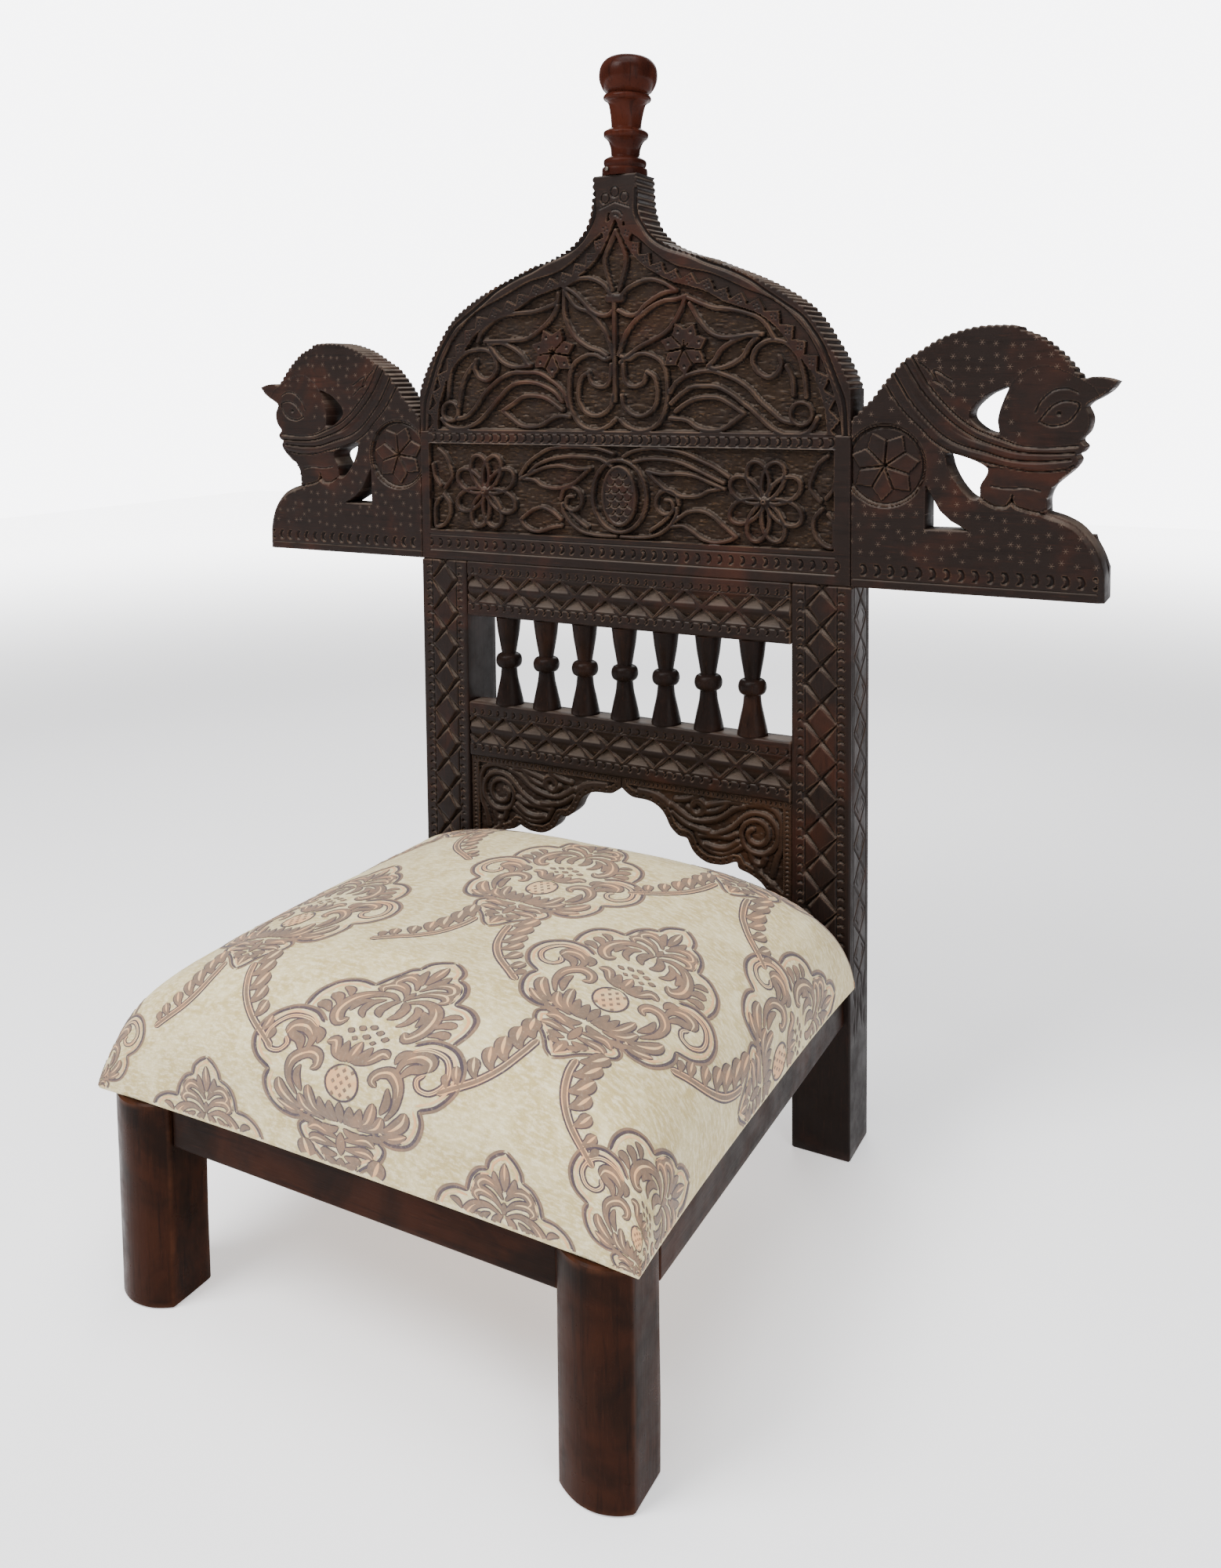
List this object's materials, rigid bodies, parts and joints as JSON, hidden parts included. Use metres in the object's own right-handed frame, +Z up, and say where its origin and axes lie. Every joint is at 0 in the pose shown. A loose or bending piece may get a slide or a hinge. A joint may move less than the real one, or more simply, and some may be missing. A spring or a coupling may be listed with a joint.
{
  "type": "low carved chair",
  "caption": "Low chair with a square padded seat and a tall carved back: turned gallery, scrolled brackets, and a crest with an onion dome between two horse heads.",
  "frame": {"origin": "on the floor, in the middle of the chair's own box", "axes": "+Z up, the longest extent; +Y towards the back, the shortest extent; the front faces -Y; +X to the right seen from the front"},
  "size_m": [0.968, 0.52, 1.0961],
  "materials": {
    "carved_wood": "dark brown stained carving, dusty in the hollows, worn orange on the edges",
    "plain_wood": "smooth dark reddish brown, semi-gloss",
    "turned_wood": "turned dark reddish brown, polished",
    "raw_wood": "unstained, sawn",
    "plywood": "bare plywood",
    "foam": "open-cell upholstery foam",
    "seat_fabric": "cream chenille with taupe woven medallions",
    "steel": "dull steel"
  },
  "bodies": {
    "root": {"rear_post_right": "carved_wood", "rear_post_left": "carved_wood", "front_leg_right": "plain_wood", "front_leg_left": "plain_wood", "side_seat_rail_right": "plain_wood", "side_seat_rail_left": "plain_wood", "front_seat_rail": "plain_wood", "rear_seat_rail": "plain_wood", "lower_back_rail": "carved_wood", "upper_back_rail": "carved_wood", "spindle_1": "turned_wood", "spindle_2": "turned_wood", "spindle_3": "turned_wood", "spindle_4": "turned_wood", "spindle_5": "turned_wood", "spindle_6": "turned_wood", "spindle_7": "turned_wood", "scroll_bracket_right": "carved_wood", "scroll_bracket_left": "carved_wood", "bracket_dowel_1_right": "raw_wood", "bracket_dowel_1_left": "raw_wood", "bracket_dowel_2_right": "raw_wood", "bracket_dowel_2_left": "raw_wood", "crest_board": "carved_wood", "finial": "turned_wood", "finial_pin": "steel", "seat_board": "plywood", "seat_foam": "foam", "seat_cover": "seat_fabric", "corner_block_front_right": "raw_wood", "corner_block_front_left": "raw_wood", "corner_block_rear_right": "raw_wood", "corner_block_rear_left": "raw_wood", "seat_screw_front_right": "steel", "seat_screw_front_left": "steel", "seat_screw_rear_right": "steel", "seat_screw_rear_left": "steel"}
  },
  "joints": []
}
